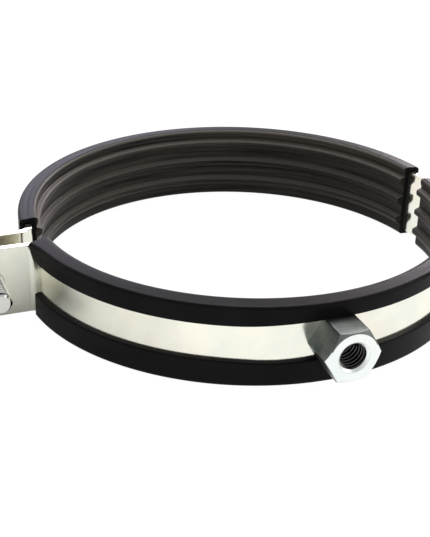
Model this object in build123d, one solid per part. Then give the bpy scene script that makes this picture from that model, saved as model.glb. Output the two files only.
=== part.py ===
from build123d import *
import math
import os

# Two-screw pipe clamp with a ribbed rubber liner, lying on its side.
# Z is the pipe's axis, the origin is on that axis at half the clamp's width,
# the connection nut points along -Y and the two closing ears point along +X and -X.
# All sizes are in millimetres.

# ---- strip steel half bands ----
band_width = 25.0                 # width of the strip, along the pipe
band_thickness = 2.5
band_outer_r = 78.4               # outside of the bent strip
strip_edge_r = 0.4                # rolled edge of the strip
bend_inner_r = 3.0                # hollow side of the bend from ring to ear
screw_offset = 15.1               # closing screw, out from the bent strip
ear_margin = 10.5                 # tip of the ear, out from the closing screw
ear_corner_r = 3.0
nut_side_ear_face = -8.8          # outer face of the nut side's ears, in Y
ear_gap = 8.0                     # open gap between facing ears
clearance_hole_r = 4.5            # hole in the rear band's ears
collar_height = 2.5               # drawn collar round the tapped hole, inside the gap
collar_r = 5.9

# ---- rubber liner ----
lip_thickness = 1.6               # lip lying on the outside of the strip
edge_cover = 1.2                  # rubber over each edge of the strip
channel_play = 0.3                # play between the strip's edge and the liner's edge
upper_lip_z = 7.2                 # free edge of the upper lip, above the middle of the width
lower_lip_z = -5.2                # free edge of the lower lip
wall_thickness = 1.8              # rubber between strip and ribs
rib_height = 2.0
rib_pitch = 8.1
rib_land = 0.8                    # flat tip of a rib, which meets the pipe
rib_base = 4.2
liner_corner_r = 1.0
liner_inner_corner_r = 1.3
lip_edge_r = 0.5
lip_notch_play = 0.3              # play between the lips and the flats of the nut
front_liner_left_y = -9.2         # where each liner is cut off, in the middle of its section
front_liner_left_skew = 24.0      # the left end of the front liner is cut at this slant
front_liner_right_y = -0.8
front_lip_y = -9.2                # the front lips stop in the hollow of the bend
rear_liner_left_y = 8.4
rear_liner_right_y = 10.7

# ---- connection nut, M10 ----
nut_flats = 17.0
nut_height = 11.9                 # from the crown of the strip to the nut's outer end
nut_bore_r = 4.25
nut_mouth_r = 5.2                 # countersink at the mouth
nut_chamfer_angle = 30.0

# ---- closing screws, M8 x 30, and their washers ----
screw_r = 4.0
screw_length = 30.0
screw_play = 0.05                 # radial play in the tapped collar
screw_tip_chamfer = 0.9
head_flats = 13.0
head_height = 5.3
washer_r = 8.0
washer_hole_r = 4.2
washer_thickness = 1.6

# ---- values that follow from the ones above ----
band_inner_r = band_outer_r - band_thickness
screw_x = band_outer_r + screw_offset
ear_end_x = screw_x + ear_margin
lip_outer_r = band_outer_r + lip_thickness
liner_half_height = band_width / 2.0 + channel_play + edge_cover
wall_r = band_inner_r - wall_thickness
rib_tip_r = wall_r - rib_height
nut_outer_y = -band_outer_r - nut_height
nut_side_mating_y = nut_side_ear_face + band_thickness
rear_mating_y = nut_side_mating_y + ear_gap
rear_ear_face = rear_mating_y + band_thickness
head_seat_y = rear_ear_face + washer_thickness
screw_end_y = head_seat_y - screw_length
reach = 400.0                     # longer than any piece, for cutting blocks


def y_cylinder(x, y0, y1, r):
    # round bar along Y
    low = min(y0, y1)
    length = abs(y1 - y0)
    return Pos(x, low + length / 2.0, 0) * Rot(90, 0, 0) * Cylinder(r, length)


def block(x0, x1, y0, y1):
    # tall box that covers x0..x1 and y0..y1, used for cutting
    size_x = x1 - x0
    size_y = y1 - y0
    return Pos((x0 + x1) / 2.0, (y0 + y1) / 2.0, 0) * Box(size_x, size_y, reach)


# ---------------------------------------------------------------- half bands

def bend_geometry(mating_y):
    # hollow bend between ring and ear, for ears on the +Y side of the joint plane
    ear_top = mating_y + band_thickness
    centre_y = ear_top + bend_inner_r
    centre_r = band_outer_r + bend_inner_r
    centre_x = math.sqrt(centre_r ** 2 - centre_y ** 2)
    turn = math.atan2(centre_y, centre_x)
    return ear_top, centre_x, centre_y, turn


def bend_point(mating_y, r, a):
    ear_top, centre_x, centre_y, turn = bend_geometry(mating_y)
    return (centre_x + r * math.cos(a), centre_y + r * math.sin(a))


def flip(p):
    return (-p[0], p[1])


def strip_outline(mating_y):
    # the bent strip seen along the pipe: ear, bend, half ring, bend, ear
    ear_top, centre_x, centre_y, turn = bend_geometry(mating_y)
    hollow = bend_inner_r
    crown = bend_inner_r + band_thickness
    start = turn + math.pi
    end = 1.5 * math.pi
    mid = (start + end) / 2.0
    out_a = bend_point(mating_y, hollow, end)
    out_m = bend_point(mating_y, hollow, mid)
    out_b = bend_point(mating_y, hollow, start)
    in_a = bend_point(mating_y, crown, end)
    in_m = bend_point(mating_y, crown, mid)
    in_b = bend_point(mating_y, crown, start)
    tip_out = (ear_end_x, ear_top)
    tip_in = (ear_end_x, mating_y)
    edges = [
        Line(tip_out, out_a),
        ThreePointArc(out_a, out_m, out_b),
        ThreePointArc(out_b, (0, band_outer_r), flip(out_b)),
        ThreePointArc(flip(out_b), flip(out_m), flip(out_a)),
        Line(flip(out_a), flip(tip_out)),
        Line(flip(tip_out), flip(tip_in)),
        Line(flip(tip_in), flip(in_a)),
        ThreePointArc(flip(in_a), flip(in_m), flip(in_b)),
        ThreePointArc(flip(in_b), (0, band_inner_r), in_b),
        ThreePointArc(in_b, in_m, in_a),
        Line(in_a, tip_in),
        Line(tip_in, tip_out),
    ]
    return make_face(edges)


def plain_strip(mating_y):
    face = Pos(0, 0, -band_width / 2.0) * strip_outline(mating_y)
    return extrude(face, amount=band_width, dir=(0, 0, 1))


def ear_corner_edges(strip):
    # short edges through the strip's thickness at the ears' tips
    found = []
    for e in strip.edges():
        c = e.center()
        on_tip = abs(abs(c.X) - ear_end_x) < 0.01
        on_side = abs(abs(c.Z) - band_width / 2.0) < 0.01
        if on_tip and on_side:
            found.append(e)
    return found


def long_strip_edges(strip):
    # the outline of both broad faces, which the rolled edge of the strip softens
    found = []
    for e in strip.edges():
        runs_across = abs(e.tangent_at(0.5).Z) < 0.01 and e.length < band_thickness + 0.01
        if not runs_across:
            found.append(e)
    return found


def bent_strip(mating_y):
    strip = plain_strip(mating_y)
    strip = fillet(ear_corner_edges(strip), ear_corner_r)
    return fillet(long_strip_edges(strip), strip_edge_r)


def front_band():
    # nut side: the ears are tapped, with a collar drawn into the gap
    band = mirror(bent_strip(-nut_side_mating_y), about=Plane.XZ)
    y0 = nut_side_mating_y - 0.5
    y1 = nut_side_mating_y + collar_height
    for side in (1, -1):
        x = side * screw_x
        band = band + y_cylinder(x, y0, y1, collar_r)
        band = band - y_cylinder(x, nut_side_ear_face - 1, y1 + 1, screw_r + screw_play)
    return band


def rear_band():
    # head side: plain clearance holes in the ears
    band = bent_strip(rear_mating_y)
    for side in (1, -1):
        x = side * screw_x
        band = band - y_cylinder(x, rear_mating_y - 1, rear_ear_face + 1, clearance_hole_r)
    return band


# ---------------------------------------------------------------- rubber liner

def corner_vertices(face, r, z):
    # vertices of a section at one radius and at plus or minus one height
    found = []
    for v in face.vertices():
        if abs(v.X - r) < 0.01 and abs(abs(v.Y) - z) < 0.01:
            found.append(v)
    return found


def rib_section(z):
    tip = rib_land / 2.0
    base = rib_base / 2.0
    points = [
        (wall_r + 0.5, z - base),
        (wall_r, z - base),
        (wall_r - 0.35 * rib_height, z - base + 0.55),
        (wall_r - 0.75 * rib_height, z - base + 0.85),
        (rib_tip_r, z - tip),
        (rib_tip_r, z + tip),
        (wall_r - 0.75 * rib_height, z + base - 0.85),
        (wall_r - 0.35 * rib_height, z + base - 0.55),
        (wall_r, z + base),
        (wall_r + 0.5, z + base),
    ]
    return make_face(Polyline(*points, close=True))


def core_section():
    # ribbed inner wall with the two flanges that cover the strip's edges
    half = liner_half_height
    inside = band_width / 2.0 + channel_play
    points = [
        (wall_r, -half),
        (lip_outer_r, -half),
        (lip_outer_r, -inside),
        (band_inner_r, -inside),
        (band_inner_r, inside),
        (lip_outer_r, inside),
        (lip_outer_r, half),
        (wall_r, half),
    ]
    face = make_face(Polyline(*points, close=True))
    face = fillet(corner_vertices(face, lip_outer_r, half), liner_corner_r)
    face = fillet(corner_vertices(face, wall_r, half), liner_inner_corner_r)
    for k in (-1, 0, 1):
        face = face + rib_section(k * rib_pitch)
    return face


def lip_section(free_edge_z):
    # lip that grips the outside of the strip, from the flange to its free edge
    inside = math.copysign(band_width / 2.0 + channel_play, free_edge_z)
    points = [
        (band_outer_r, free_edge_z),
        (lip_outer_r, free_edge_z),
        (lip_outer_r, inside),
        (band_outer_r, inside),
    ]
    face = make_face(Polyline(*points, close=True))
    return fillet(corner_vertices(face, lip_outer_r, abs(free_edge_z)), lip_edge_r)


def turned(face):
    return revolve(Plane.XZ * face, axis=Axis.Z, revolution_arc=360)


def beyond(side, left_y, right_y):
    # what lies past the liner's two cut ends, on the +Y or the -Y side
    if side > 0:
        return block(-reach, 0, left_y, reach) + block(0, reach, right_y, reach)
    return block(-reach, 0, -reach, left_y) + block(0, reach, -reach, right_y)


def slanted_end(left_y, slant):
    # block that trims the left end of a front liner at a slant
    middle_r = (wall_r + lip_outer_r) / 2.0
    size = 4.0 * (lip_outer_r - wall_r)
    block_above = Pos(0, size / 2.0, 0) * Box(size, size, reach)
    return Pos(-middle_r, left_y, 0) * Rot(0, 0, slant) * block_above


def half_liner(side, left_y, right_y, lip_left_y, lip_right_y):
    core = turned(core_section()) & beyond(side, left_y, right_y)
    lips = turned(lip_section(upper_lip_z)) + turned(lip_section(lower_lip_z))
    lips = lips & beyond(side, lip_left_y, lip_right_y)
    return core + lips


def front_liner():
    # the lips press into the hollow of each bend and leave room for the nut
    body = half_liner(-1, 0, front_liner_right_y, front_lip_y, front_lip_y)
    body = body - slanted_end(front_liner_left_y, front_liner_left_skew)
    body = body - mirror(plain_strip(-nut_side_mating_y), about=Plane.XZ)
    notch_top = -band_outer_r + channel_play
    notch = hex_bar(nut_flats + 2 * lip_notch_play, nut_outer_y, notch_top, 0)
    return body - notch


def rear_liner():
    left = rear_liner_left_y
    right = rear_liner_right_y
    return half_liner(1, left, right, left, right)


# ---------------------------------------------------------------- fasteners

def hex_bar(flats, y0, y1, turn):
    # hexagonal bar along Y; turn 0 puts two flats square to Z
    corner = flats / math.sqrt(3.0)
    face = RegularPolygon(corner, 6)
    solid = extrude(face, amount=abs(y1 - y0))
    low = min(y0, y1)
    return Pos(0, low, 0) * Rot(-90, 0, 0) * Rot(0, 0, turn) * solid


def cone_cut(flats, end_y, direction, angle):
    # body of revolution that leaves a chamfered end on a hexagon
    face_r = 0.475 * flats
    slope = math.tan(math.radians(angle))
    depth = 0.7 * flats
    wide_r = face_r + depth / slope
    points = [
        (0, 0),
        (face_r, 0),
        (wide_r, -depth),
        (wide_r, -4 * flats),
        (0, -4 * flats),
    ]
    face = make_face(Polyline(*points, close=True))
    solid = revolve(Plane.XZ * face, axis=Axis.Z, revolution_arc=360)
    return Pos(0, end_y, 0) * Rot(-90 * direction, 0, 0) * solid


def connection_nut():
    # welded on the crown of the band, so its inner end follows the strip
    nut = hex_bar(nut_flats, nut_outer_y, -band_inner_r, 0)
    nut = nut & cone_cut(nut_flats, nut_outer_y, -1, nut_chamfer_angle)
    nut = nut - Cylinder(band_outer_r, reach)
    nut = nut - y_cylinder(0, nut_outer_y - 1, -band_inner_r, nut_bore_r)
    # both ends of the thread are countersunk
    depth = nut_mouth_r - nut_bore_r
    outer_mouth = Cone(nut_bore_r, nut_mouth_r, depth)
    inner_mouth = Cone(nut_mouth_r, nut_bore_r, depth)
    nut = nut - Pos(0, nut_outer_y + depth / 2.0, 0) * Rot(90, 0, 0) * outer_mouth
    return nut - Pos(0, -band_outer_r - depth / 2.0, 0) * Rot(90, 0, 0) * inner_mouth


def closing_screw(side):
    x = side * screw_x
    length = screw_length
    points = [
        (0, 0),
        (screw_r, 0),
        (screw_r, -length + screw_tip_chamfer),
        (screw_r - screw_tip_chamfer, -length),
        (0, -length),
    ]
    shank = revolve(Plane.XZ * make_face(Polyline(*points, close=True)), axis=Axis.Z, revolution_arc=360)
    shank = Pos(0, head_seat_y, 0) * Rot(-90, 0, 0) * shank
    head = hex_bar(head_flats, head_seat_y, head_seat_y + head_height, 0)
    head = head & cone_cut(head_flats, head_seat_y + head_height, 1, nut_chamfer_angle)
    return Pos(x, 0, 0) * (head + shank)


def washer(side):
    x = side * screw_x
    disc = y_cylinder(x, rear_ear_face, head_seat_y, washer_r)
    return disc - y_cylinder(x, rear_ear_face - 1, head_seat_y + 1, washer_hole_r)


# ---------------------------------------------------------------- output

def main():
    os.makedirs("parts", exist_ok=True)
    pieces = {
        "front_band": front_band(),
        "rear_band": rear_band(),
        "front_liner": front_liner(),
        "rear_liner": rear_liner(),
        "connection_nut": connection_nut(),
        "left_closing_screw": closing_screw(-1),
        "right_closing_screw": closing_screw(1),
        "left_washer": washer(-1),
        "right_washer": washer(1),
    }
    for name, shape in pieces.items():
        export_step(shape, "parts/" + name + ".step")
        box = shape.bounding_box()
        print(name, len(shape.solids()), round(shape.volume, 1), box.min, box.max)


main()
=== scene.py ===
import math
import bmesh
import bpy
from mathutils import Matrix, Vector


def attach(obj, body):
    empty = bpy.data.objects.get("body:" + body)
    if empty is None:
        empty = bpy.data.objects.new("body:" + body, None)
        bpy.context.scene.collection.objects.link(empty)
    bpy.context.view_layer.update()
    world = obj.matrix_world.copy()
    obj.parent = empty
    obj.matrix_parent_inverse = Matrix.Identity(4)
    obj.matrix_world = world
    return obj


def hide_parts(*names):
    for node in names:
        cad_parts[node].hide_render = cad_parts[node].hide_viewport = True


# Two-screw pipe clamp with a ribbed rubber liner, lying on its side.
# Z is the pipe's axis, the connection nut points along -Y, the closing ears along X.
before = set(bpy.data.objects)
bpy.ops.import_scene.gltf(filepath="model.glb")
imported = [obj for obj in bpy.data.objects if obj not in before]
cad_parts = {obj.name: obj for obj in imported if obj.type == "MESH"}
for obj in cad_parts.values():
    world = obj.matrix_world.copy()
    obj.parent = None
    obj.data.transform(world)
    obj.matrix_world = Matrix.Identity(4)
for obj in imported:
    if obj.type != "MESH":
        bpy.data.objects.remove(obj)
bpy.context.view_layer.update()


# ------------------------------------------------------------------ studio
# The clamp lies on a plain white sweep under one broad overhead softbox and three smaller ones.
# The sweep stays white to the eye and keeps a little of the clamp's shadow.
# Its mirror image carries a painted shadow near the left ear, so that the bright metal there keeps some
# shading.

floor_height = -0.014
sweep_mesh = bmesh.new()
bmesh.ops.create_grid(sweep_mesh, x_segments=1, y_segments=1, size=2.5)
bmesh.ops.translate(sweep_mesh, vec=(0, 0, floor_height), verts=sweep_mesh.verts)
sweep_data = bpy.data.meshes.new("floor_sweep")
sweep_mesh.to_mesh(sweep_data)
sweep_mesh.free()
sweep = bpy.data.objects.new("floor_sweep", sweep_data)
bpy.context.scene.collection.objects.link(sweep)


def add_math(nodes, links, operation, *terms):
    # a math node; each term is a fixed number or another node's output
    worked = nodes.new("ShaderNodeMath")
    worked.operation = operation
    for socket, term in zip(worked.inputs, terms):
        if isinstance(term, float):
            socket.default_value = term
        else:
            links.new(term, socket)
    return worked.outputs[0]


def add_range(nodes, links, value, from_min, from_max, to_min=0.0, to_max=1.0):
    # maps a value from one range onto another
    mapped = nodes.new("ShaderNodeMapRange")
    mapped.inputs["From Min"].default_value = from_min
    mapped.inputs["From Max"].default_value = from_max
    mapped.inputs["To Min"].default_value = to_min
    mapped.inputs["To Max"].default_value = to_max
    links.new(value, mapped.inputs["Value"])
    return mapped.outputs["Result"]


paper = bpy.data.materials.new("white_paper")
paper.use_nodes = True
nodes = paper.node_tree.nodes
links = paper.node_tree.links
nodes.clear()
out = nodes.new("ShaderNodeOutputMaterial")
lit = nodes.new("ShaderNodeBsdfDiffuse")
lit.inputs["Color"].default_value = (0.52, 0.53, 0.52, 1)
shown = nodes.new("ShaderNodeEmission")
shown.inputs["Color"].default_value = (1, 1, 1, 1)
shown.inputs["Strength"].default_value = 1.09
mix = nodes.new("ShaderNodeMixShader")
path = nodes.new("ShaderNodeLightPath")
spot = nodes.new("ShaderNodeTexCoord")
from_ear = nodes.new("ShaderNodeVectorMath")
from_ear.operation = "DISTANCE"
from_ear.inputs[1].default_value = (-0.100, 0.0, floor_height)
links.new(spot.outputs["Object"], from_ear.inputs[0])
# painted shadow: glossy rays see less of the sweep's glow the nearer they land to the left ear
painted_ear_shadow = add_range(nodes, links, from_ear.outputs["Value"], 0.010, 0.095, 0.02, 0.93)
mirrored = add_math(nodes, links, "MULTIPLY", painted_ear_shadow, path.outputs["Is Glossy Ray"])
share = add_math(nodes, links, "MULTIPLY_ADD", path.outputs["Is Camera Ray"], 0.90, mirrored)
links.new(share, mix.inputs["Fac"])
links.new(lit.outputs[0], mix.inputs[1])
links.new(shown.outputs[0], mix.inputs[2])
links.new(mix.outputs[0], out.inputs["Surface"])
sweep_data.materials.append(paper)

room = bpy.data.worlds.new("studio_room")
bpy.context.scene.world = room
room.use_nodes = True
nodes = room.node_tree.nodes
links = room.node_tree.links
nodes.clear()
out = nodes.new("ShaderNodeOutputWorld")
seen = nodes.new("ShaderNodeBackground")
seen.inputs["Color"].default_value = (1, 1, 1, 1)
seen.inputs["Strength"].default_value = 1.0
air = nodes.new("ShaderNodeBackground")
air.inputs["Strength"].default_value = 0.72
place = nodes.new("ShaderNodeTexCoord")
split = nodes.new("ShaderNodeSeparateXYZ")
walls = nodes.new("ShaderNodeValToRGB")
walls.color_ramp.elements[0].position = 0.0
walls.color_ramp.elements[0].color = (0.90, 0.91, 0.90, 1)
walls.color_ramp.elements[1].position = 1.0
walls.color_ramp.elements[1].color = (0.62, 0.63, 0.66, 1)
band_of_wall = walls.color_ramp.elements.new(0.50)
band_of_wall.color = (1.0, 1.0, 1.0, 1)
mix = nodes.new("ShaderNodeMixShader")
path = nodes.new("ShaderNodeLightPath")
links.new(place.outputs["Generated"], split.inputs[0])
links.new(add_range(nodes, links, split.outputs["Z"], -0.1, 0.9), walls.inputs["Fac"])
links.new(walls.outputs["Color"], air.inputs["Color"])
links.new(path.outputs["Is Camera Ray"], mix.inputs["Fac"])
links.new(air.outputs[0], mix.inputs[1])
links.new(seen.outputs[0], mix.inputs[2])
links.new(mix.outputs[0], out.inputs["Surface"])


def softbox(name, width, depth, power, place, aim, tint):
    lamp = bpy.data.lights.new(name, "AREA")
    lamp.shape = "RECTANGLE"
    lamp.size = width
    lamp.size_y = depth
    lamp.energy = power
    lamp.color = tint
    stand = bpy.data.objects.new(name, lamp)
    bpy.context.scene.collection.objects.link(stand)
    stand.location = place
    stand.rotation_euler = (Vector(aim) - Vector(place)).to_track_quat("-Z", "Y").to_euler()


softbox("overhead_softbox", 0.7, 0.6, 8.0, (0.16, 0.30, 0.85), (0, 0, 0), (1.0, 0.98, 0.95))
softbox("rear_softbox", 0.6, 0.3, 8.0, (0.92, 0.80, 0.50), (0, 0, 0), (1.0, 0.91, 0.97))
softbox("far_softbox", 0.5, 0.3, 1.9, (0.12, 1.05, 0.42), (0, 0, 0), (0.84, 0.80, 1.0))
softbox("right_softbox", 0.5, 0.6, 1.6, (0.80, -0.45, 0.40), (0, 0, 0), (1.0, 0.98, 0.94))

camera_data = bpy.data.cameras.new("camera")
camera_data.sensor_width = 36.0
camera_data.lens = 78.64
camera = bpy.data.objects.new("camera", camera_data)
bpy.context.scene.collection.objects.link(camera)
camera.location = (-0.15486, -0.35712, 0.18204)
camera.rotation_euler = (1.105437, -0.028186, -0.371780)
bpy.context.scene.camera = camera
bpy.context.scene.view_settings.view_transform = "Standard"


# ------------------------------------------------------------------ nut-side half: steel band
# Half ring of 25 x 2.5 mm zinc-plated strip, bent outwards at both ends into flat ears.
# Each ear carries a drawn collar that is tapped M8 for the closing screw.

band_width = 0.025
band_thickness = 0.0025
band_outer_r = 0.0784
band_inner_r = band_outer_r - band_thickness
bend_inner_r = 0.003
screw_x = 0.0935
ear_end_x = 0.104
nut_ear_face = -0.0088
nut_mating_y = nut_ear_face + band_thickness


def add_noise(nodes, links, place, scale, detail, roughness=0.5, distortion=0.0):
    # a noise texture over the given place
    texture = nodes.new("ShaderNodeTexNoise")
    texture.inputs["Scale"].default_value = scale
    texture.inputs["Detail"].default_value = detail
    texture.inputs["Roughness"].default_value = roughness
    texture.inputs["Distortion"].default_value = distortion
    links.new(place, texture.inputs["Vector"])
    return texture.outputs["Fac"]


def mix_colours(nodes, links, factor, first, second):
    # blends two colours, each a fixed tint or an output; a mix node's colour sockets are 6, 7 and 2
    blend = nodes.new("ShaderNodeMix")
    blend.data_type = "RGBA"
    links.new(factor, blend.inputs["Factor"])
    for socket, colour in ((blend.inputs[6], first), (blend.inputs[7], second)):
        if isinstance(colour, tuple):
            socket.default_value = colour
        else:
            links.new(colour, socket)
    return blend.outputs[2]


def steel_wear_group():
    # faint roll streaks and clouding of a passivated zinc coat, with brownish patches that are partly stain
    # and partly painted reflection: a colour mask, roughness and height
    group = bpy.data.node_groups.new("zinc_coat", "ShaderNodeTree")
    for label, way, kind in (
        ("Streak Scale", "INPUT", "Float"), ("Roughness", "INPUT", "Float"),
        ("Clear Tint", "INPUT", "Color"), ("Cloud Tint", "INPUT", "Color"), ("Stain And Reflection Tint", "INPUT", "Color"),
        ("Color", "OUTPUT", "Color"), ("Roughness", "OUTPUT", "Float"), ("Height", "OUTPUT", "Float"),
    ):
        group.interface.new_socket(label, in_out=way, socket_type="NodeSocket" + kind)
    nodes = group.nodes
    links = group.links
    given = nodes.new("NodeGroupInput")
    made = nodes.new("NodeGroupOutput")
    where = nodes.new("ShaderNodeTexCoord").outputs["Object"]
    cloud = add_noise(nodes, links, where, 70.0, 4.0, 0.55)
    speck = add_noise(nodes, links, where, 900.0, 2.0)
    stain_and_reflection = add_noise(nodes, links, where, 26.0, 6.0, 0.62, 0.6)
    stretch = nodes.new("ShaderNodeMapping")
    stretch.inputs["Scale"].default_value = (0.03, 0.03, 1.0)
    links.new(where, stretch.inputs["Vector"])
    streak = nodes.new("ShaderNodeTexNoise")
    streak.inputs["Detail"].default_value = 3.0
    links.new(stretch.outputs[0], streak.inputs["Vector"])
    links.new(given.outputs["Streak Scale"], streak.inputs["Scale"])
    patch = add_range(nodes, links, cloud, 0.38, 0.66)
    tint = mix_colours(nodes, links, patch, given.outputs["Clear Tint"], given.outputs["Cloud Tint"])
    stain_and_reflection_mask = add_range(nodes, links, stain_and_reflection, 0.45, 0.66, to_max=0.42)
    passivated = mix_colours(nodes, links, stain_and_reflection_mask, tint, given.outputs["Stain And Reflection Tint"])
    links.new(passivated, made.inputs["Color"])
    spread = add_math(nodes, links, "MULTIPLY_ADD", streak.outputs["Fac"], 0.10, given.outputs["Roughness"])
    fine = add_math(nodes, links, "MULTIPLY_ADD", speck, 0.06, spread)
    links.new(fine, made.inputs["Roughness"])
    relief = add_math(nodes, links, "MULTIPLY_ADD", speck, 0.5, streak.outputs["Fac"])
    links.new(relief, made.inputs["Height"])
    return group


zinc_coat = steel_wear_group()


def plated_steel(name, clear, cloud, stain_and_reflection, roughness, streak_scale, relief):
    # bright metal under a zinc coat; the coat's tints and gloss vary over the surface
    material = bpy.data.materials.new(name)
    material.use_nodes = True
    nodes = material.node_tree.nodes
    links = material.node_tree.links
    shader = nodes["Principled BSDF"]
    shader.inputs["Metallic"].default_value = 1.0
    coat = nodes.new("ShaderNodeGroup")
    coat.node_tree = zinc_coat
    coat.inputs["Streak Scale"].default_value = streak_scale
    coat.inputs["Roughness"].default_value = roughness
    coat.inputs["Clear Tint"].default_value = clear
    coat.inputs["Cloud Tint"].default_value = cloud
    coat.inputs["Stain And Reflection Tint"].default_value = stain_and_reflection
    bump = nodes.new("ShaderNodeBump")
    bump.inputs["Strength"].default_value = relief
    bump.inputs["Distance"].default_value = 0.0002
    links.new(coat.outputs["Color"], shader.inputs["Base Color"])
    links.new(coat.outputs["Roughness"], shader.inputs["Roughness"])
    links.new(coat.outputs["Height"], bump.inputs["Height"])
    links.new(bump.outputs["Normal"], shader.inputs["Normal"])
    return material


# the strip's brownish third tint is partly stain and partly a painted reflection, in random patches
strip_zinc = plated_steel(
    "strip_zinc", (0.935, 0.915, 0.80, 1), (0.83, 0.85, 0.76, 1), (0.76, 0.68, 0.57, 1),
    roughness=0.09, streak_scale=900.0, relief=0.06,
)


def add_piece(name, shape, finish, body, nodes_shown, smooth_angle=40):
    # puts a finished mesh on its body, in place of the plain solids
    data = bpy.data.meshes.new(name)
    shape.to_mesh(data)
    shape.free()
    data.shade_smooth()
    data.set_sharp_from_angle(angle=math.radians(smooth_angle))
    data.materials.append(finish)
    piece = bpy.data.objects.new(name, data)
    bpy.context.scene.collection.objects.link(piece)
    settle = piece.modifiers.new("even_normals", "WEIGHTED_NORMAL")
    settle.keep_sharp = True
    settle.weight = 90
    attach(piece, body)
    if nodes_shown:
        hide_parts(*nodes_shown)
    return piece


def sharp_edges(shape, least_angle):
    # edges between two faces that meet at more than the given angle, in radians
    return [e for e in shape.edges if len(e.link_faces) == 2 and e.calc_face_angle() > least_angle]


def round_edges(shape, edges, width, segments, clamp=False):
    bmesh.ops.bevel(shape, geom=edges, offset=width, offset_type="OFFSET", segments=segments, profile=0.5,
                    affect="EDGES", material=-1, clamp_overlap=clamp)


def cut_round_hole(shape, centre_x, y_from, y_to, radius):
    # drills a round hole along Y, then breaks its two rims
    drill = bmesh.new()
    bmesh.ops.create_cone(drill, cap_ends=True, segments=72, radius1=radius, radius2=radius,
                          depth=abs(y_to - y_from))
    bmesh.ops.rotate(drill, matrix=Matrix.Rotation(math.radians(90), 3, "X"), verts=drill.verts)
    bmesh.ops.translate(drill, vec=(centre_x, (y_from + y_to) / 2, 0), verts=drill.verts)
    holders = []
    for part_mesh in (shape, drill):
        data = bpy.data.meshes.new("blank")
        part_mesh.to_mesh(data)
        part_mesh.free()
        holder = bpy.data.objects.new("blank", data)
        bpy.context.scene.collection.objects.link(holder)
        holders.append(holder)
    work, tool = holders
    cut = work.modifiers.new("drill", "BOOLEAN")
    cut.operation = "DIFFERENCE"
    cut.solver = "EXACT"
    cut.object = tool
    bpy.context.view_layer.update()
    result = bmesh.new()
    result.from_object(work, bpy.context.evaluated_depsgraph_get())
    for holder in holders:
        data = holder.data
        bpy.data.objects.remove(holder)
        bpy.data.meshes.remove(data)
    rims = []
    for edge in sharp_edges(result, 1.0):
        if all(abs(math.hypot(v.co.x - centre_x, v.co.z) - radius) < 1e-5 for v in edge.verts):
            rims.append(edge)
    round_edges(result, rims, 0.00025, 2, clamp=True)
    return result


def bent_strip(mating_y):
    # half ring on the +Y side with its two ears, from the strip's section
    ear_face = mating_y + band_thickness
    centre_y = ear_face + bend_inner_r
    centre_r = band_outer_r + bend_inner_r
    centre_x = math.sqrt(centre_r ** 2 - centre_y ** 2)
    turn = math.atan2(centre_y, centre_x)
    strip = bmesh.new()
    half = band_width / 2
    outline = ((band_inner_r, -half), (band_outer_r, -half), (band_outer_r, half), (band_inner_r, half))
    section = strip.faces.new([strip.verts.new((0, y, z)) for y, z in outline])
    swept = bmesh.ops.spin(strip, geom=[section], cent=(0, 0, 0), axis=(0, 0, 1),
                           angle=-(math.pi / 2 - turn), steps=90, use_duplicate=False)
    swept = bmesh.ops.spin(strip, geom=swept["geom_last"], cent=(centre_x, centre_y, 0), axis=(0, 0, 1),
                           angle=math.pi / 2 - turn, steps=20, use_duplicate=False)
    end_faces = [g for g in swept["geom_last"] if isinstance(g, bmesh.types.BMFace)]
    first_run = 0.0006
    for run in (first_run, ear_end_x - centre_x - first_run):
        grown = bmesh.ops.extrude_face_region(strip, geom=end_faces)
        bmesh.ops.delete(strip, geom=end_faces, context="FACES_ONLY")
        end_faces = [g for g in grown["geom"] if isinstance(g, bmesh.types.BMFace)]
        moved = [g for g in grown["geom"] if isinstance(g, bmesh.types.BMVert)]
        bmesh.ops.translate(strip, vec=(run, 0, 0), verts=moved)
    start = [f for f in strip.faces if all(abs(v.co.x) < 1e-7 for v in f.verts)]
    bmesh.ops.delete(strip, geom=start, context="FACES_ONLY")
    whole = strip.verts[:] + strip.edges[:] + strip.faces[:]
    bmesh.ops.mirror(strip, geom=whole, matrix=Matrix.Identity(4), merge_dist=1e-6, axis="X")
    bmesh.ops.remove_doubles(strip, verts=strip.verts, dist=1e-6)
    bmesh.ops.recalc_face_normals(strip, faces=strip.faces)
    tips = []
    for edge in strip.edges:
        a, b = edge.verts
        if min(abs(a.co.x), abs(b.co.x)) > ear_end_x - 1e-6 and abs(a.co.y - b.co.y) > 0.001:
            tips.append(edge)
    round_edges(strip, tips, 0.003, 8)
    round_edges(strip, sharp_edges(strip, 1.0), 0.0004, 3)
    return strip


def ring_about_y(outline, centre_x):
    # turns a closed outline of (radius, y) pairs once round a line along Y
    ring = bmesh.new()
    section = ring.faces.new([ring.verts.new((centre_x + r, y, 0)) for r, y in outline])
    bmesh.ops.spin(ring, geom=[section], cent=(centre_x, 0, 0), axis=(0, 1, 0),
                   angle=2 * math.pi, steps=72, use_merge=True, use_duplicate=False)
    bmesh.ops.remove_doubles(ring, verts=ring.verts, dist=1e-7)
    inner = [f for f in ring.faces if len(f.verts) == len(outline)]
    bmesh.ops.delete(ring, geom=inner, context="FACES_ONLY")
    bmesh.ops.recalc_face_normals(ring, faces=ring.faces)
    return ring


front_strip = bent_strip(-nut_mating_y)
bmesh.ops.scale(front_strip, vec=(1, -1, 1), verts=front_strip.verts)
bmesh.ops.recalc_face_normals(front_strip, faces=front_strip.faces)
tapped_r = 0.00402
for side in (-1, 1):
    front_strip = cut_round_hole(front_strip, side * screw_x, nut_ear_face - 0.001, nut_mating_y + 0.001,
                                 tapped_r + 0.0003)
add_piece("front_band_strip", front_strip, strip_zinc, "nut_half", ["front_band"])

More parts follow.
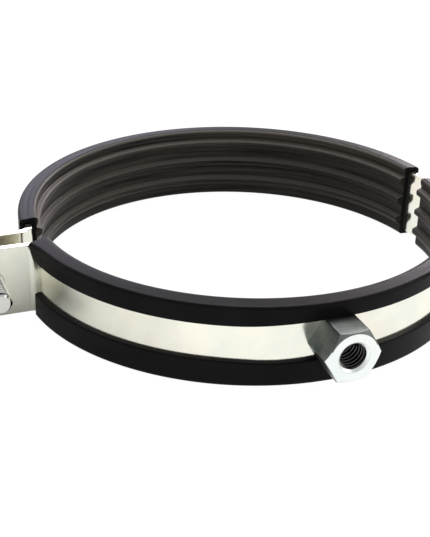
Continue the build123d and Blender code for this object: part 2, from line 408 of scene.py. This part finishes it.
collars = bmesh.new()
collar_outline = (
    (tapped_r, nut_mating_y - 0.0022), (tapped_r, nut_mating_y + 0.0022), (0.0043, nut_mating_y + 0.0025),
    (0.0054, nut_mating_y + 0.0025), (0.00575, nut_mating_y + 0.0022), (0.0059, nut_mating_y + 0.0009),
    (0.0061, nut_mating_y + 0.0004), (0.0065, nut_mating_y + 0.0001), (0.0070, nut_mating_y - 0.0002),
    (0.0070, nut_mating_y - 0.0022),
)
for side in (-1, 1):
    ring = ring_about_y(collar_outline, side * screw_x)
    part_data = bpy.data.meshes.new("collar")
    ring.to_mesh(part_data)
    ring.free()
    collars.from_mesh(part_data)
    bpy.data.meshes.remove(part_data)
add_piece("front_band_tapped_collars", collars, strip_zinc, "nut_half", [])


# ------------------------------------------------------------------ nut-side half: rubber liner
# Extruded black rubber: three round-topped ribs inside, a flange over each edge of the strip,
# and two lips that grip the strip's outside. It is pushed on from the strip's end.

lip_outer_r = 0.080
liner_half = 0.014
wall_r = 0.0741
rib_tip_r = 0.0721
rib_pitch = 0.0081
rib_lift = 0.0004
upper_lip_z = 0.0072
lower_lip_z = -0.0052

rubber = bpy.data.materials.new("liner_rubber_black")
rubber.use_nodes = True
nodes = rubber.node_tree.nodes
links = rubber.node_tree.links
shader = nodes["Principled BSDF"]
shader.inputs["IOR"].default_value = 1.38
shader.inputs["Specular IOR Level"].default_value = 0.13
shader.inputs["Sheen Weight"].default_value = 0.05
shader.inputs["Sheen Roughness"].default_value = 0.35
shader.inputs["Sheen Tint"].default_value = (0.90, 0.78, 1.0, 1)
where = nodes.new("ShaderNodeTexCoord")
split = nodes.new("ShaderNodeSeparateXYZ")
links.new(where.outputs["Object"], split.inputs[0])
square_x = add_math(nodes, links, "MULTIPLY", split.outputs["X"], split.outputs["X"])
square_y = add_math(nodes, links, "MULTIPLY", split.outputs["Y"], split.outputs["Y"])
radius = add_math(nodes, links, "SQRT", add_math(nodes, links, "ADD", square_x, square_y))
section_place = nodes.new("ShaderNodeCombineXYZ")
links.new(radius, section_place.inputs["X"])
links.new(split.outputs["Z"], section_place.inputs["Y"])
links.new(add_math(nodes, links, "MULTIPLY", split.outputs["X"], 0.03), section_place.inputs["Z"])
die_lines = add_noise(nodes, links, section_place.outputs[0], 2200.0, 3.0)
drag_lines = add_noise(nodes, links, section_place.outputs[0], 620.0, 4.0, 0.65)
bloom = add_noise(nodes, links, where.outputs["Object"], 60.0, 5.0, 0.6)
grain = add_noise(nodes, links, where.outputs["Object"], 5200.0, 2.0)
blacks = nodes.new("ShaderNodeValToRGB")
blacks.color_ramp.elements[0].position = 0.35
blacks.color_ramp.elements[0].color = (0.0020, 0.0018, 0.0023, 1)
blacks.color_ramp.elements[1].position = 0.70
blacks.color_ramp.elements[1].color = (0.0062, 0.0050, 0.0052, 1)
links.new(bloom, blacks.inputs["Fac"])
# the ring's inner faces are a lighter brown-grey than its outer black, streaked along the extrusion
inner_tone = nodes.new("ShaderNodeValToRGB")
inner_tone.color_ramp.elements[0].position = 0.36
inner_tone.color_ramp.elements[0].color = (0.0060, 0.0052, 0.0045, 1)
inner_tone.color_ramp.elements[1].position = 0.64
inner_tone.color_ramp.elements[1].color = (0.0560, 0.0480, 0.0400, 1)
links.new(drag_lines, inner_tone.inputs["Fac"])
inside = nodes.new("ShaderNodeMapRange")
inside.interpolation_type = "SMOOTHSTEP"
inside.inputs["From Min"].default_value = 0.0747
inside.inputs["From Max"].default_value = 0.0739
links.new(radius, inside.inputs["Value"])
# painted highlight: faces turned upwards, such as the ribs' upper ledges, are made lighter
facing = nodes.new("ShaderNodeSeparateXYZ")
links.new(where.outputs["Normal"], facing.inputs[0])
painted_top_light = add_range(nodes, links, facing.outputs["Z"], 0.15, 0.95)
inner_tone_painted_top_light = mix_colours(nodes, links, painted_top_light, inner_tone.outputs["Color"], (0.105, 0.096, 0.086, 1))
skin = mix_colours(nodes, links, inside.outputs["Result"], blacks.outputs["Color"], inner_tone_painted_top_light)
links.new(skin, shader.inputs["Base Color"])
links.new(add_range(nodes, links, die_lines, 0.3, 0.7, 0.30, 0.44), shader.inputs["Roughness"])
relief = add_math(nodes, links, "MULTIPLY_ADD", grain, 0.35, die_lines)
bump = nodes.new("ShaderNodeBump")
bump.inputs["Strength"].default_value = 0.10
bump.inputs["Distance"].default_value = 0.0002
links.new(relief, bump.inputs["Height"])
links.new(bump.outputs["Normal"], shader.inputs["Normal"])


def liner_section(shape, upper, lower):
    # closed outline of the rubber's section in the XZ plane, corners rounded one kind at a time
    inside = 0.0128
    rounds = {"flange_outer": 0.0011, "flange_inner": 0.0014, "crest": 0.0023,
              "lip": 0.0005, "tip": 0.0005, "foot": 0.0004}
    named = {key: [] for key in rounds}
    points = [
        (band_inner_r, inside, None), (band_outer_r, inside, None), (band_outer_r, upper, None),
        (lip_outer_r, upper, "lip"), (lip_outer_r, liner_half, "flange_outer"),
        (wall_r - 0.0013, liner_half + 0.0006, "crest"), (wall_r - 0.0002, 0.0113, "foot"),
    ]
    for k in (1, 0, -1):
        z = k * rib_pitch + rib_lift
        points.append((wall_r, z + 0.0020, "foot"))
        points.append((rib_tip_r, z + 0.0013, "tip"))
        points.append((rib_tip_r, z - 0.0006, "tip"))
        points.append((wall_r, z - 0.0020, "foot"))
    points += [
        (wall_r, -liner_half, "flange_inner"), (lip_outer_r, -liner_half, "flange_outer"),
        (lip_outer_r, lower, "lip"), (band_outer_r, lower, None), (band_outer_r, -inside, None),
        (band_inner_r, -inside, None),
    ]
    corners = []
    for r, z, kind in points:
        corner = shape.verts.new((r, 0, z))
        corners.append(corner)
        if kind:
            named[kind].append(corner)
    face = shape.faces.new(corners)
    for kind, group in named.items():
        bmesh.ops.bevel(shape, geom=group, offset=rounds[kind], offset_type="OFFSET", segments=4, profile=0.5,
                        affect="VERTICES", material=-1, clamp_overlap=True)
    return shape.faces[:]


def half_liner(side, left_angle, right_angle, ends):
    # sweeps the section round a half ring and trims both ends with slanted planes
    shape = bmesh.new()
    section = liner_section(shape, upper_lip_z, lower_lip_z)
    bmesh.ops.rotate(shape, cent=(0, 0, 0), matrix=Matrix.Rotation(right_angle, 3, "Z"), verts=shape.verts)
    bmesh.ops.spin(shape, geom=section, cent=(0, 0, 0), axis=(0, 0, 1), angle=left_angle - right_angle,
                   steps=150, use_duplicate=False)
    bmesh.ops.recalc_face_normals(shape, faces=shape.faces)
    for point, slant in ends:
        facing = Vector((-math.sin(slant), math.cos(slant), 0)) * -side
        near = []
        for face in shape.faces:
            if (face.calc_center_median().x > 0) == (point[0] > 0) and abs(face.calc_center_median().y) < 0.03:
                near.append(face)
        edges = list({e for f in near for e in f.edges})
        verts = list({v for f in near for v in f.verts})
        cut = bmesh.ops.bisect_plane(shape, geom=near + edges + verts, plane_co=point, plane_no=facing,
                                     clear_outer=True, dist=1e-7)
        rim = [g for g in cut["geom_cut"] if isinstance(g, bmesh.types.BMEdge)]
        bmesh.ops.edgeloop_fill(shape, edges=rim)
    bmesh.ops.recalc_face_normals(shape, faces=shape.faces)
    return shape


front_rubber = half_liner(
    -1, math.radians(180), math.radians(360),
    [((-0.077, -0.0092, 0), math.radians(24)), ((0.077, -0.0008, 0), 0.0)],
)
lip_lift = 0.0012
end_flare = 0.0022
for v in front_rubber.verts:
    # the upper lip rides up past the nut, and the left end flares where the strip bends away
    away = math.hypot(v.co.x, v.co.y)
    turned = math.degrees(math.atan2(v.co.y, v.co.x)) % 360
    past_nut = min(max((turned - 246) / 26, 0), 1)
    past_nut = past_nut * past_nut * (3 - 2 * past_nut)
    near_nut = math.exp(-((turned - 257) / 9) ** 2)
    outside_strip = away > band_outer_r - 2e-5
    if outside_strip and 0.0066 < v.co.z < 0.0082:
        v.co.z += lip_lift * past_nut
    if outside_strip and -0.0061 < v.co.z < -0.0046:
        v.co.z += 0.0005 * past_nut - 0.0008 * near_nut
    flare = max(1 - (turned - 186.5) / 7, 0) ** 2 * min(max((v.co.z - 0.0068) / 0.0072, 0), 1)
    if v.co.x < 0 and away > band_inner_r:
        away_now = away + end_flare * flare * (away - band_inner_r) / (lip_outer_r - band_inner_r)
        v.co.x *= away_now / away
        v.co.y *= away_now / away
add_piece("front_liner_rubber", front_rubber, rubber, "nut_half", ["front_liner"], 50)


# ------------------------------------------------------------------ nut-side half: connection nut
# M10 hexagon nut, 17 mm across flats, projection-welded on the crown of the band.
# Its outer end has a 30 degree chamfer and a countersunk mouth, and the thread shows inside.

nut_end_y = -0.0903
nut_flat = 0.0085
nut_face_r = 0.00808
nut_mouth_r = 0.0053
nut_throat_r = 0.0045
nut_mouth_depth = 0.0008
nut_minor_r = 0.00425
nut_major_r = 0.0050
nut_pitch = 0.0015
nut_thread_cone_r = 0.00545
nut_thread_end_y = -0.0786
# the flats' dull finish is darkened further as painted shade
nut_flats_painted_shade = plated_steel(
    "nut_drawn_flats_painted_shade", (0.22, 0.24, 0.232, 1), (0.075, 0.09, 0.086, 1), (0.20, 0.182, 0.166, 1),
    roughness=0.30, streak_scale=420.0, relief=0.40,
)
nut_face_and_lit_chamfer = plated_steel(
    "nut_turned_face_and_painted_highlight", (0.93, 0.96, 0.95, 1), (0.86, 0.92, 0.89, 1), (0.90, 0.90, 0.86, 1),
    roughness=0.30, streak_scale=600.0, relief=0.08,
)


def threaded_steel(name, axis_x, crest_r, root_r, crest, root_painted_shade, roughness):
    # bright rolled or cut crests over grooves painted dark as shade, told apart by the distance from the
    # thread's axis
    material = plated_steel(name, crest, crest, crest, roughness, streak_scale=700.0, relief=0.10)
    nodes = material.node_tree.nodes
    links = material.node_tree.links
    where = nodes.new("ShaderNodeTexCoord")
    split = nodes.new("ShaderNodeSeparateXYZ")
    links.new(where.outputs["Object"], split.inputs[0])
    one_side = add_math(nodes, links, "ABSOLUTE", split.outputs["X"])
    offset = add_math(nodes, links, "SUBTRACT", one_side, axis_x)
    flat_place = nodes.new("ShaderNodeCombineXYZ")
    links.new(offset, flat_place.inputs["X"])
    links.new(split.outputs["Z"], flat_place.inputs["Y"])
    away = nodes.new("ShaderNodeVectorMath")
    away.operation = "LENGTH"
    links.new(flat_place.outputs[0], away.inputs[0])
    clear_of_groove_shade = add_range(nodes, links, away.outputs["Value"], root_r, crest_r)
    coat = next(n for n in nodes if n.type == "GROUP")
    shade = mix_colours(nodes, links, clear_of_groove_shade, root_painted_shade, coat.outputs["Color"])
    links.new(shade, nodes["Principled BSDF"].inputs["Base Color"])
    return material


# the tapped bore is painted dark as shade, crests dim grey and grooves near black
tapped_bore_painted_shade = threaded_steel(
    "nut_tapped_bore_painted_shade", 0.0, crest_r=0.00428, root_r=0.00445,
    crest=(0.14, 0.135, 0.13, 1), root_painted_shade=(0.004, 0.004, 0.004, 1), roughness=0.06,
)


def hexagon_reach(angle, flat):
    # distance from the axis to the hexagon's side, with two sides square to Z
    turned = (angle + math.radians(30)) % math.radians(60) - math.radians(30)
    return flat / math.cos(math.radians(30) - abs(turned))


def hexagon_prism(centre_x, end_y, base_y, flat, face_r, inner_r, direction, base_on_ring):
    # end face, chamfer and flats of a hexagon nut or head, grown ring by ring from the hole's rim
    shape = bmesh.new()
    made = bmesh.ops.create_circle(shape, cap_ends=False, segments=96, radius=inner_r)
    edges = list({e for v in made["verts"] for e in v.link_edges})
    slope = math.tan(math.radians(30))
    for stage in ("face", "chamfer", "flat"):
        grown = bmesh.ops.extrude_edge_only(shape, edges=edges)
        verts = [g for g in grown["geom"] if isinstance(g, bmesh.types.BMVert)]
        edges = [g for g in grown["geom"] if isinstance(g, bmesh.types.BMEdge)
                 and all(v in verts for v in g.verts)]
        for v in verts:
            angle = math.atan2(v.co.y, v.co.x)
            reach = face_r if stage == "face" else hexagon_reach(angle, flat)
            drop = {"face": 0, "chamfer": (reach - face_r) * slope, "flat": 1}[stage]
            v.co = Vector((reach * math.cos(angle), reach * math.sin(angle), -drop))
    bmesh.ops.rotate(shape, cent=(0, 0, 0), matrix=Matrix.Rotation(math.radians(-90 * direction), 3, "X"),
                     verts=shape.verts)
    for v in shape.verts:
        if abs(v.co.y + direction) < 1e-6:
            v.co.y = base_y - end_y
            if base_on_ring:
                v.co.y = -math.sqrt(band_outer_r ** 2 - v.co.x ** 2) - end_y
        v.co.y += end_y
        v.co.x += centre_x
    return shape, edges


def thread_surface(shape, minor_r, major_r, pitch, y_from, turns, centre_x, steps):
    # one pitch of a V thread with flat crest and root, screwed along Y right-handed
    outline = ((0.0, major_r), (0.125, major_r), (0.4375, minor_r), (0.6875, minor_r), (1.0, major_r))
    points = [shape.verts.new((centre_x + r, y_from + t * pitch, 0)) for t, r in outline]
    edges = [shape.edges.new((a, b)) for a, b in zip(points[:-1], points[1:])]
    total = int(steps * turns)
    bmesh.ops.spin(shape, geom=points + edges, cent=(centre_x, 0, 0), axis=(0, 1, 0),
                   dvec=(0, pitch / steps, 0), angle=2 * math.pi * turns, steps=total, use_duplicate=False)
    bmesh.ops.remove_doubles(shape, verts=shape.verts, dist=2e-6)


def trim_at_y(shape, y, direction):
    # clears whatever lies past the plane at y, on its +Y or -Y side
    whole = shape.verts[:] + shape.edges[:] + shape.faces[:]
    bmesh.ops.bisect_plane(shape, geom=whole, plane_co=(0, y, 0), plane_no=(0, direction, 0), clear_outer=True)


nut_shape = hexagon_prism(0, nut_end_y, 0, nut_flat, nut_face_r, nut_mouth_r, -1, True)[0]
mouth_rim = []
for edge in nut_shape.edges:
    if all(abs(math.hypot(v.co.x, v.co.z) - nut_mouth_r) < 1e-6 for v in edge.verts):
        mouth_rim.append(edge)
grown = bmesh.ops.extrude_edge_only(nut_shape, edges=mouth_rim)
for v in grown["geom"]:
    if isinstance(v, bmesh.types.BMVert):
        narrow = nut_throat_r / nut_mouth_r
        v.co = Vector((v.co.x * narrow, v.co.y + nut_mouth_depth, v.co.z * narrow))
round_edges(nut_shape, sharp_edges(nut_shape, 0.4), 0.00022, 2)
bmesh.ops.recalc_face_normals(nut_shape, faces=nut_shape.faces)
for face in nut_shape.faces:
    # the end face and the mouth are turned bright, the lower chamfer corners get the same bright finish as a
    # painted highlight, the rest stays dull
    middle = face.calc_center_median()
    in_mouth = math.hypot(middle.x, middle.z) < 0.0060
    bright_finish = in_mouth or face.normal.y < -0.97 or (face.normal.y < -0.80 and middle.z < 0.0030)
    face.material_index = 1 if bright_finish else 0
nut_body = add_piece("connection_nut_body", nut_shape, nut_flats_painted_shade, "nut_half", ["connection_nut"], 35)
nut_body.data.materials.append(nut_face_and_lit_chamfer)

nut_thread = bmesh.new()
thread_surface(nut_thread, nut_minor_r, nut_major_r, nut_pitch, nut_end_y - nut_pitch, 9.5, 0, 48)
for v in nut_thread.verts:
    depth = v.co.y - nut_end_y
    away = math.hypot(v.co.x, v.co.z)
    mouth = max(nut_thread_cone_r - depth, 0.0)
    if away < mouth and depth > -1e-6:
        v.co.x *= mouth / away
        v.co.z *= mouth / away
trim_at_y(nut_thread, nut_end_y, -1)
trim_at_y(nut_thread, nut_thread_end_y, 1)
for v in nut_thread.verts:
    if abs(v.co.y - nut_end_y) < 1e-7:
        away = math.hypot(v.co.x, v.co.z)
        v.co.x *= nut_thread_cone_r / away
        v.co.z *= nut_thread_cone_r / away
outward = 0
for face in nut_thread.faces:
    face.normal_update()
    middle = face.calc_center_median()
    outward += 1 if face.normal.dot(Vector((middle.x, 0, middle.z))) > 0 else 0
if outward > len(nut_thread.faces) / 2:
    bmesh.ops.reverse_faces(nut_thread, faces=nut_thread.faces)
add_piece("connection_nut_thread", nut_thread, tapped_bore_painted_shade, "nut_half", [], 40)


# ------------------------------------------------------------------ closing half: steel band and liner
# The same strip and the same rubber extrusion on the head side.
# Its ears have plain clearance holes, and its liner stops short of the bends.

rear_mating_y = 0.0017
rear_ear_face = rear_mating_y + band_thickness
clearance_hole_r = 0.0045
rear_strip = bent_strip(rear_mating_y)
for side in (-1, 1):
    rear_strip = cut_round_hole(rear_strip, side * screw_x, rear_mating_y - 0.001, rear_ear_face + 0.001,
                                clearance_hole_r)
add_piece("rear_band_strip", rear_strip, strip_zinc, "closing_half", ["rear_band"])

rear_rubber = half_liner(
    1, math.radians(180), math.radians(0),
    [((-0.077, 0.0084, 0), 0.0), ((0.077, 0.0107, 0), 0.0)],
)
add_piece("rear_liner_rubber", rear_rubber, rubber, "closing_half", ["rear_liner"], 50)


# ------------------------------------------------------------------ closing screws and washers
# Two M8 x 30 hexagon screws go in from the head side through a plain washer each,
# and their threaded ends come out past the tapped ears.

head_seat_y = 0.0058
head_height = 0.0053
head_flat = 0.0065
head_face_r = 0.00612
screw_length = 0.030
screw_major_r = 0.0040
screw_minor_r = 0.00325
screw_pitch = 0.00125
screw_tip_r = 0.0030
washer_inner_r = 0.0042
washer_outer_r = 0.0080
screw_zinc = plated_steel(
    "screw_zinc", (0.86, 0.86, 0.84, 1), (0.72, 0.74, 0.72, 1), (0.70, 0.66, 0.58, 1),
    roughness=0.17, streak_scale=700.0, relief=0.10,
)
# the screw's thread roots are painted near black as shade between the bright crests
rolled_zinc = threaded_steel(
    "screw_rolled_thread", screw_x, crest_r=0.00388, root_r=0.00355,
    crest=(0.92, 0.92, 0.90, 1), root_painted_shade=(0.035, 0.035, 0.033, 1), roughness=0.10,
)

for side, label in ((-1, "left"), (1, "right")):
    body = label + "_screw"
    x = side * screw_x
    head_top_y = head_seat_y + head_height
    pinhole_r = 0.0001
    head, head_rim = hexagon_prism(x, head_top_y, head_seat_y, head_flat, head_face_r, pinhole_r, 1, False)
    bmesh.ops.edgeloop_fill(head, edges=head_rim)
    dots = [v for v in head.verts if math.hypot(v.co.x - x, v.co.z) < 1.5 * pinhole_r]
    bmesh.ops.pointmerge(head, verts=dots, merge_co=(x, head_top_y, 0))
    round_edges(head, sharp_edges(head, 0.4), 0.00018, 2)
    bmesh.ops.recalc_face_normals(head, faces=head.faces)
    add_piece(label + "_closing_screw_head", head, screw_zinc, body, [label + "_closing_screw"], 35)

    shank = bmesh.new()
    tip_y = head_seat_y - screw_length
    thread_start_y = tip_y - 1.37 * screw_pitch
    thread_surface(shank, screw_minor_r, screw_major_r - 0.00003, screw_pitch, thread_start_y, 26, x, 40)
    trim_at_y(shank, head_seat_y + 0.0002, 1)
    trim_at_y(shank, tip_y, -1)
    for v in shank.verts:
        limit = screw_tip_r + (v.co.y - tip_y)
        away = math.hypot(v.co.x - x, v.co.z)
        if away > limit:
            v.co.x = x + (v.co.x - x) * limit / away
            v.co.z = v.co.z * limit / away
    rim = [e for e in shank.edges if len(e.link_faces) == 1 and abs(e.verts[0].co.y - tip_y) < 1e-6]
    bmesh.ops.holes_fill(shank, edges=rim, sides=0)
    bmesh.ops.recalc_face_normals(shank, faces=shank.faces)
    for face in shank.faces:
        face.material_index = 1 if face.calc_center_median().y < tip_y + 0.0005 else 0
    rod = add_piece(label + "_closing_screw_thread", shank, rolled_zinc, body, [], 35)
    rod.data.materials.append(screw_zinc)

    washer_outline = (
        (washer_inner_r, rear_ear_face + 0.0001), (0.0043, rear_ear_face), (0.0078, rear_ear_face),
        (washer_outer_r, rear_ear_face + 0.0002), (washer_outer_r, head_seat_y - 0.0005),
        (0.0079, head_seat_y - 0.00015), (0.0076, head_seat_y), (0.0044, head_seat_y),
        (washer_inner_r, head_seat_y - 0.0001),
    )
    washer = ring_about_y(washer_outline, x)
    add_piece(label + "_washer_ring", washer, screw_zinc, body, [label + "_washer"], 35)
